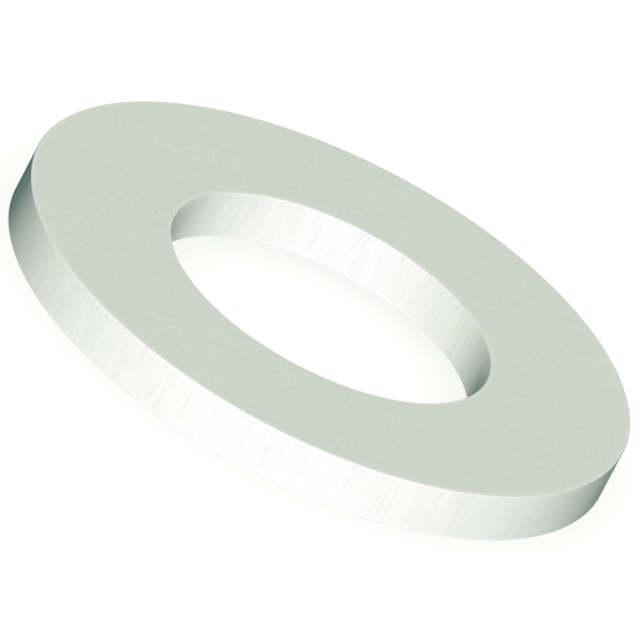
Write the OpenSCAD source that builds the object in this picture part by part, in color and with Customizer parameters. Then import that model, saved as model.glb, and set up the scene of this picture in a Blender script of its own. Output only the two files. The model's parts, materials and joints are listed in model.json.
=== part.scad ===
// Plain flat washer, narrow series, for an M3 cheese-head or fillister-head screw.
// It is one ring, blanked from sheet steel, and it lies flat on the plane z = 0.
// The screw's axis is the Z axis. All sizes are in millimetres.

/* [Ring] */
// Diameter of the hole that the screw passes through
hole_d = 3.2; // [2.6:0.1:4]
// Diameter across the outside of the ring
outer_d = 6; // [5:0.1:8]
// Thickness of the sheet that the ring is blanked from
thickness = 0.5; // [0.3:0.05:1]

/* [Edges] */
// Radius of both edges of the upper face, where blanking draws the sheet in
roll_r = 0.012; // [0.006:0.002:0.1]
// Width of the 45 degree edge break that tumbling leaves round the lower face
break_w = 0.008; // [0.004:0.002:0.05]

/* [Hidden] */

hole_r = hole_d / 2;
outer_r = outer_d / 2;
// Height at which the rolled edges begin
roll_z = thickness - roll_r;
// Facets round the ring and round a rolled edge, where a preview draws the curves
ring_facets = 180;
roll_facets = 32;

// Half of the ring cut through its axis, with the rolled edges drawn as true arcs
module section() {
    polygon([
        [hole_r, break_w],
        [hole_r + break_w, 0],
        [outer_r - break_w, 0],
        [outer_r, break_w],
        [outer_r, roll_z],
        [outer_r - roll_r, thickness],
        [hole_r + roll_r, thickness],
        [hole_r, roll_z],
    ]);
    for (x = [hole_r + roll_r, outer_r - roll_r])
        translate([x, roll_z])
            circle(r = roll_r, $fn = roll_facets);
}

module washer() {
    color([0.80, 0.83, 0.79])
        rotate_extrude($fn = ring_facets)
            section();
}

washer();
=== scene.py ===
"""Looks of the flat washer: a satin, zinc-plated steel ring lying on a pale studio floor."""
import json
import math

import bpy
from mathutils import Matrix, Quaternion, Vector


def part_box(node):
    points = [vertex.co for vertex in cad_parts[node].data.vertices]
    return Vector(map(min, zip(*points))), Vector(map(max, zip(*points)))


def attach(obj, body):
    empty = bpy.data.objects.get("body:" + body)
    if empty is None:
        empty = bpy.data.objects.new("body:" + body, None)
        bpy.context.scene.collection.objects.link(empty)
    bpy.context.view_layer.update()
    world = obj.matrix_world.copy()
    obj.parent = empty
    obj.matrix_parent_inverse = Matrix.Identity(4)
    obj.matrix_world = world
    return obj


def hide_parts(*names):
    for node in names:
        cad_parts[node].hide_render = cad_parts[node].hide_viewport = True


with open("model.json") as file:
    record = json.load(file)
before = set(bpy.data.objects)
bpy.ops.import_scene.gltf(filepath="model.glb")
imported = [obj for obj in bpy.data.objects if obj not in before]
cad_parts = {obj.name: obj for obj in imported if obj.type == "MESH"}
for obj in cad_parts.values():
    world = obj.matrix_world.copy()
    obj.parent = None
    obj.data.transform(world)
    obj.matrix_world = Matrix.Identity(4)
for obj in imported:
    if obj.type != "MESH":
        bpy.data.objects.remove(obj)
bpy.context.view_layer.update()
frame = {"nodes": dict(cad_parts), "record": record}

MM = 0.001

# The ring, as the CAD model has it: its radii and thickness come from the frame
MOUNTS = {mount["name"]: mount for mount in frame["record"]["mounts"]}
HOLE_R = MOUNTS["screw_hole"]["dims"]["r_mm"] * MM
OUTER_R = max(Vector(v.co[:2]).length for v in frame["nodes"]["washer"].data.vertices)
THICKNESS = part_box("washer")[1].z
# Radius of the rolled edges of the upper face, and of the softened edges of the lower face
ROLL_R = 0.012 * MM
BREAK_R = 0.008 * MM

# How finely the ring is drawn: steps round it, round each edge, and across each face and wall
SEGMENTS = 360
ROLL_STEPS = 8
BREAK_STEPS = 4
FACE_STEPS = 12
WALL_STEPS = 4

# The band beside each edge where its wear fades: its width, the most of a face or wall that it
# may take up, and where in it one more row of points lies
WORN_BAND = 0.03 * MM
WORN_MOST = 1 / 4
WORN_ROW = 1 / 3

# The camera: a long lens from the front, tipped to its side. Half of its picture's width is
# HALF_VIEW at the ring, and it aims a little beside the ring's middle.
CAMERA_ELEVATION = math.radians(25.16)
CAMERA_ROLL = math.radians(27.78)
LENS_MM = 1500
SENSOR_MM = 36
HALF_VIEW = 0.9687 * OUTER_R
AIM_RIGHT = 0.0013 * MM
AIM_UP = -0.0069 * MM
# Nothing nearer than the ring's distance divided by this, or further than it times this, is drawn
CLIP_RATIO = 10

# The plate. Colours are linear, and a noise's values over NOISE_SPAN make up a feature's range.
ROUGH = 0.32
ZINC = (0.80, 0.865, 0.78, 1)
NOISE_SPAN = (0.3, 0.7)
NOISE_DETAIL = 4
# Fine grain: its height, how far it moves the roughness either way, and its darkest tint
GRAIN_SIZE = 0.035 * MM
GRAIN_HEIGHT = 0.0006 * MM
GRAIN_ROUGH = 0.04
GRAIN_TINT = (0.955, 0.955, 0.955, 1)
# Broad, faint clouds of passivate
CLOUD_SIZE = 0.9 * MM
CLOUD_ROUGH = 0.015
CLOUD_ZINC = (0.785, 0.85, 0.77, 1)
# Hairlines: their width, length over width, directions in degrees, the stretch of the noise that
# makes them, and how much of the worn colour they show
HAIRLINE_SIZE = 0.012 * MM
HAIRLINE_STRETCH = 60
HAIRLINE_ANGLES = (15, 62, 108, 151)
HAIRLINE_CUT = (0.64, 0.76)
HAIRLINE_SHINE = 0.5
# Shear marks on the walls: how far the grain and hairlines are drawn out in height
SHEAR_STRETCH = 20
# Edges and hairlines, rubbed bright
WORN = (0.83, 0.88, 0.82, 1)

# The floor: its reach, how far it lies under the ring, and its own faint glow
FLOOR_REACH = 400 * OUTER_R
FLOOR_GAP = 0.001 * MM
FLOOR_WHITE = (0.9, 0.9, 0.9, 1)
FLOOR_ROUGH = 0.9
FLOOR_GLOW = 0.36
PURE_WHITE = (1, 1, 1, 1)

# The low light. It comes from -1, straight behind, to 1, straight ahead, where ahead is turned
# FRONT_TURN to the right. From SHADE_END on it brightens along a curve, from shade to side to front.
FRONT_TURN = math.radians(6)
SHADE_END = -0.82
SHADE_CURVE = 0.5
SIDE_AT = 0.6
BACK_SHADE = (0.0, 0.08, 0.08, 1)
SIDE_LIGHT = (1.0, 0.98, 0.96, 1)
FRONT_LIGHT = (1.48, 1.34, 1.5, 1)
# The even sky, and the heights between which the low light turns into it
SKY_LIGHT = (0.81, 0.815, 0.79, 1)
SHADOW_TOP = -0.1
SKY_FOOT = 0.3

# Sockets of the colour mix node: the share and the two colours going in, and the colour coming out
MIX_INPUTS = (0, 6, 7)
MIX_OUTPUT = 2


def arc(centre_r, centre_z, radius, start, steps):
    """A quarter circle of the section, as (radius, height, outward r, outward z, wear)."""
    points = []
    for i in range(steps + 1):
        angle = math.radians(start) + math.pi / 2 * i / steps
        out = math.cos(angle), math.sin(angle)
        points.append((centre_r + radius * out[0], centre_z + radius * out[1], *out, 1))
    return points


def straight(start, end, out, steps):
    """The points between two corners of the section. The wear of the corners fades within WORN_BAND."""
    length = math.dist(start, end)
    band = min(WORN_BAND, length * WORN_MOST) / length
    shares = [band * WORN_ROW, band]
    shares += [band + (1 - 2 * band) * i / steps for i in range(1, steps)]
    shares += [1 - band, 1 - band * WORN_ROW]
    points = []
    for share in shares:
        nearest = min(share, 1 - share)
        wear = max(0, 1 - nearest / band)
        r, z = (a + (b - a) * share for a, b in zip(start, end))
        points.append((r, z, *out, wear))
    return points


def section():
    """The ring's closed section, anticlockwise from the lower face's outer corner."""
    inner, outer = HOLE_R, OUTER_R
    roll_z = THICKNESS - ROLL_R
    return [
        *arc(outer - BREAK_R, BREAK_R, BREAK_R, 270, BREAK_STEPS),
        *straight((outer, BREAK_R), (outer, roll_z), (1, 0), WALL_STEPS),
        *arc(outer - ROLL_R, roll_z, ROLL_R, 0, ROLL_STEPS),
        *straight((outer - ROLL_R, THICKNESS), (inner + ROLL_R, THICKNESS), (0, 1), FACE_STEPS),
        *arc(inner + ROLL_R, roll_z, ROLL_R, 90, ROLL_STEPS),
        *straight((inner, roll_z), (inner, BREAK_R), (-1, 0), WALL_STEPS),
        *arc(inner + BREAK_R, BREAK_R, BREAK_R, 180, BREAK_STEPS),
        *straight((inner + BREAK_R, 0), (outer - BREAK_R, 0), (0, -1), FACE_STEPS),
    ]


def washer_ring():
    """The section turned round the Z axis, with exact normals and the wear of the edges."""
    outline = section()
    verts, normals, wear = [], [], []
    for s in range(SEGMENTS):
        turn = 2 * math.pi * s / SEGMENTS
        x, y = math.cos(turn), math.sin(turn)
        for r, z, out_r, out_z, worn in outline:
            verts.append((r * x, r * y, z))
            normals.append((out_r * x, out_r * y, out_z))
            wear.append(worn)
    count = len(outline)
    faces = []
    for s in range(SEGMENTS):
        here, beyond = s * count, (s + 1) % SEGMENTS * count
        for i in range(count):
            j = (i + 1) % count
            faces.append((here + i, beyond + i, beyond + j, here + j))
    mesh = bpy.data.meshes.new("washer_ring")
    mesh.from_pydata(verts, [], faces)
    mesh.attributes.new("wear", "FLOAT", "POINT").data.foreach_set("value", wear)
    mesh.shade_smooth()
    mesh.normals_split_custom_set_from_vertices(normals)
    return placed("washer_ring", mesh)


def placed(name, data):
    """A new object in the scene."""
    thing = bpy.data.objects.new(name, data)
    bpy.context.scene.collection.objects.link(thing)
    return thing


def add(tree, kind, **values):
    """A new node with the given settings; an input is named by its socket, with _ for a space."""
    node = tree.nodes.new(kind)
    for key, value in values.items():
        socket = node.inputs.get(key.replace("_", " "))
        if socket is None:
            setattr(node, key, value)
        else:
            socket.default_value = value
    return node


def noise(tree, place, size, detail):
    """Noise whose largest features are about size across, in metres."""
    node = add(tree, "ShaderNodeTexNoise", Scale=1 / size, Detail=detail)
    tree.links.new(place, node.inputs["Vector"])
    return node.outputs["Fac"]


def ranged(tree, value, low, high, start=NOISE_SPAN[0], end=NOISE_SPAN[1]):
    """The stretch of a value from start to end, spread over low to high."""
    node = add(tree, "ShaderNodeMapRange")
    for name, number in zip(("From Min", "From Max", "To Min", "To Max"), (start, end, low, high)):
        node.inputs[name].default_value = number
    tree.links.new(value, node.inputs["Value"])
    return node.outputs["Result"]


def maths(tree, operation, first, second):
    """One sum of two values; each is a number or an output."""
    node = add(tree, "ShaderNodeMath", operation=operation)
    for socket, value in zip(node.inputs, (first, second)):
        if isinstance(value, (int, float)):
            socket.default_value = value
        else:
            tree.links.new(value, socket)
    return node.outputs[0]


def mixed(tree, share, first, second, blend="MIX"):
    """Two colours mixed; each is a colour or an output, and the share a number or an output."""
    node = add(tree, "ShaderNodeMix", data_type="RGBA", blend_type=blend)
    for index, value in zip(MIX_INPUTS, (share, first, second)):
        if isinstance(value, (int, float, tuple)):
            node.inputs[index].default_value = value
        else:
            tree.links.new(value, node.inputs[index])
    return node.outputs[MIX_OUTPUT]


def drawn_out(tree, place, angle, stretch):
    """The place turned about Z and drawn out, so that a noise there makes lines on the faces.

    Height is drawn out as well, so on the walls the same noise makes upright shear marks."""
    node = add(tree, "ShaderNodeMapping", vector_type="TEXTURE")
    node.inputs["Rotation"].default_value = (0, 0, angle)
    node.inputs["Scale"].default_value = (1, stretch, SHEAR_STRETCH)
    tree.links.new(place, node.inputs["Vector"])
    return node.outputs["Vector"]


def hairlines(tree, place):
    """Sparse fine scratches from tumbling, in several directions."""
    total = 0
    for angle in HAIRLINE_ANGLES:
        along = drawn_out(tree, place, math.radians(angle), HAIRLINE_STRETCH)
        lines = noise(tree, along, HAIRLINE_SIZE, 0)
        total = maths(tree, "MAXIMUM", total, ranged(tree, lines, 0, 1, *HAIRLINE_CUT))
    return total


def satin_zinc():
    """Tumbled zinc plate: fine grain, clouds of passivate, hairlines, and edges rubbed bare of grain."""
    mat = bpy.data.materials.new("satin_zinc")
    mat.use_nodes = True
    tree = mat.node_tree
    link = tree.links.new
    shader = tree.nodes["Principled BSDF"]
    shader.inputs["Metallic"].default_value = 1
    place = add(tree, "ShaderNodeTexCoord").outputs["Object"]
    grain = noise(tree, drawn_out(tree, place, 0, 1), GRAIN_SIZE, NOISE_DETAIL)
    cloud = noise(tree, place, CLOUD_SIZE, NOISE_DETAIL)
    lines = hairlines(tree, place)
    wear = add(tree, "ShaderNodeAttribute", attribute_name="wear").outputs["Fac"]

    colour = mixed(tree, ranged(tree, cloud, 0, 1), ZINC, CLOUD_ZINC)
    colour = mixed(tree, ranged(tree, grain, 0, 1), colour, GRAIN_TINT, "MULTIPLY")
    colour = mixed(tree, maths(tree, "MULTIPLY", lines, HAIRLINE_SHINE), colour, WORN)
    link(mixed(tree, wear, colour, WORN), shader.inputs["Base Color"])

    rough = maths(tree, "ADD", ranged(tree, grain, -GRAIN_ROUGH, GRAIN_ROUGH), ROUGH)
    rough = maths(tree, "ADD", rough, ranged(tree, cloud, -CLOUD_ROUGH, CLOUD_ROUGH))
    link(rough, shader.inputs["Roughness"])

    bump = add(tree, "ShaderNodeBump", Strength=1.0, Distance=GRAIN_HEIGHT)
    relief = maths(tree, "SUBTRACT", grain, lines)
    unworn = maths(tree, "SUBTRACT", 1, wear)
    link(maths(tree, "MULTIPLY", relief, unworn), bump.inputs["Height"])
    link(bump.outputs["Normal"], shader.inputs["Normal"])
    return mat


def floor_white():
    """A matt white that glows faintly, so that only the softest shade shows round the ring."""
    mat = bpy.data.materials.new("floor_white")
    mat.use_nodes = True
    shader = mat.node_tree.nodes["Principled BSDF"]
    shader.inputs["Base Color"].default_value = FLOOR_WHITE
    shader.inputs["Roughness"].default_value = FLOOR_ROUGH
    shader.inputs["Specular IOR Level"].default_value = 0
    shader.inputs["Emission Color"].default_value = PURE_WHITE
    shader.inputs["Emission Strength"].default_value = FLOOR_GLOW
    return mat


def studio_floor():
    """A pale floor that the ring lies on. The ring neither mirrors it nor is lit by it."""
    signs = (-1, -1), (1, -1), (1, 1), (-1, 1)
    corners = [(x * FLOOR_REACH, y * FLOOR_REACH, -FLOOR_GAP) for x, y in signs]
    mesh = bpy.data.meshes.new("studio_floor")
    mesh.from_pydata(corners, [], [(0, 1, 2, 3)])
    mesh.materials.append(floor_white())
    plane = placed("studio_floor", mesh)
    plane.visible_glossy = False
    plane.visible_diffuse = False
    return plane


def low_light(tree, way):
    """The light from the sides: bright ahead, neutral at the sides, shaded teal behind."""
    front = add(tree, "ShaderNodeVectorMath", operation="DOT_PRODUCT")
    front.inputs[1].default_value = (math.sin(FRONT_TURN), -math.cos(FRONT_TURN), 0)
    tree.links.new(way, front.inputs[0])
    ahead = ranged(tree, front.outputs["Value"], 0, 1, SHADE_END, 1)
    ahead = maths(tree, "POWER", ahead, SHADE_CURVE)
    light = mixed(tree, ranged(tree, ahead, 0, 1, 0, SIDE_AT), BACK_SHADE, SIDE_LIGHT)
    return mixed(tree, ranged(tree, ahead, 0, 1, SIDE_AT, 1), light, FRONT_LIGHT)


def studio_world():
    """Soft light all round: the low light, turning into an even sky overhead, on a white ground."""
    world = bpy.data.worlds.new("studio")
    bpy.context.scene.world = world
    world.use_nodes = True
    tree = world.node_tree
    tree.nodes.clear()
    way = add(tree, "ShaderNodeTexCoord").outputs["Generated"]
    height = add(tree, "ShaderNodeSeparateXYZ")
    tree.links.new(way, height.inputs[0])
    above = ranged(tree, height.outputs["Z"], 0, 1, SHADOW_TOP, SKY_FOOT)
    light = mixed(tree, above, low_light(tree, way), SKY_LIGHT)
    seen = add(tree, "ShaderNodeLightPath").outputs["Is Camera Ray"]
    background = add(tree, "ShaderNodeBackground")
    tree.links.new(mixed(tree, seen, light, PURE_WHITE), background.inputs["Color"])
    output = add(tree, "ShaderNodeOutputWorld")
    tree.links.new(background.outputs[0], output.inputs["Surface"])


def studio_camera():
    """A long lens at the front, looking down at the ring's middle and tipped to its side."""
    data = bpy.data.cameras.new("studio_camera")
    data.lens = LENS_MM
    data.sensor_width = SENSOR_MM
    camera = placed("studio_camera", data)
    back = Vector((0, -math.cos(CAMERA_ELEVATION), math.sin(CAMERA_ELEVATION)))
    distance = HALF_VIEW * LENS_MM / (SENSOR_MM / 2)
    turn = back.to_track_quat("Z", "Y") @ Quaternion((0, 0, 1), CAMERA_ROLL)
    camera.rotation_mode = "QUATERNION"
    camera.rotation_quaternion = turn
    camera.location = Vector((0, 0, THICKNESS / 2)) + turn @ Vector((AIM_RIGHT, AIM_UP, distance))
    data.clip_start = distance / CLIP_RATIO
    data.clip_end = distance * CLIP_RATIO
    bpy.context.scene.camera = camera


studio_camera()
ring = washer_ring()
ring.data.materials.append(satin_zinc())
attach(ring, "root")
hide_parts("washer")
floor = studio_floor()
studio_world()
bpy.context.scene.view_settings.view_transform = "Standard"
